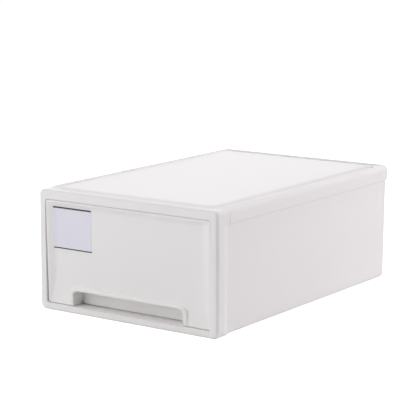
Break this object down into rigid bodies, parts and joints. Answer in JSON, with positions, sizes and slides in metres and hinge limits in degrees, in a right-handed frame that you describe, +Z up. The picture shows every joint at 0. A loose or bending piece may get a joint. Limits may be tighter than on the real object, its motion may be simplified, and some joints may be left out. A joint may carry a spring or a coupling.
{
  "type": "stacking storage drawer",
  "caption": "Low white moulded plastic storage case with a raised stacking panel on its top and one deep pull-out drawer whose dished front has a wide finger notch along its lower edge.",
  "frame": {"origin": "middle of the case's footprint, on the surface it stands on", "axes": "+Z up, +Y from the drawer front towards the back, +X to the right of someone facing the drawer"},
  "size_m": [0.304, 0.463, 0.1736],
  "materials": {
    "case_plastic": "satin moulded, white",
    "tray_plastic": "satin moulded, natural white",
    "runner_plastic": "smooth, low friction",
    "foot_rubber": "matt",
    "label_film": "satin film"
  },
  "bodies": {
    "case": {"case_tub": "case_plastic", "top_cover": "case_plastic", "front_frame": "case_plastic", "runner_left": "runner_plastic", "runner_right": "runner_plastic", "rear_foot_left": "foot_rubber", "rear_foot_right": "foot_rubber"},
    "drawer": {"drawer_tray": "tray_plastic", "drawer_front": "case_plastic", "label_card": "label_film", "drawer_stop_left": "runner_plastic", "drawer_stop_right": "runner_plastic"}
  },
  "joints": [
    {"name": "drawer_slide", "type": "slide", "parent": "case", "child": "drawer", "axis": [0, -1, 0], "range_m": [0, 0.38]}
  ]
}
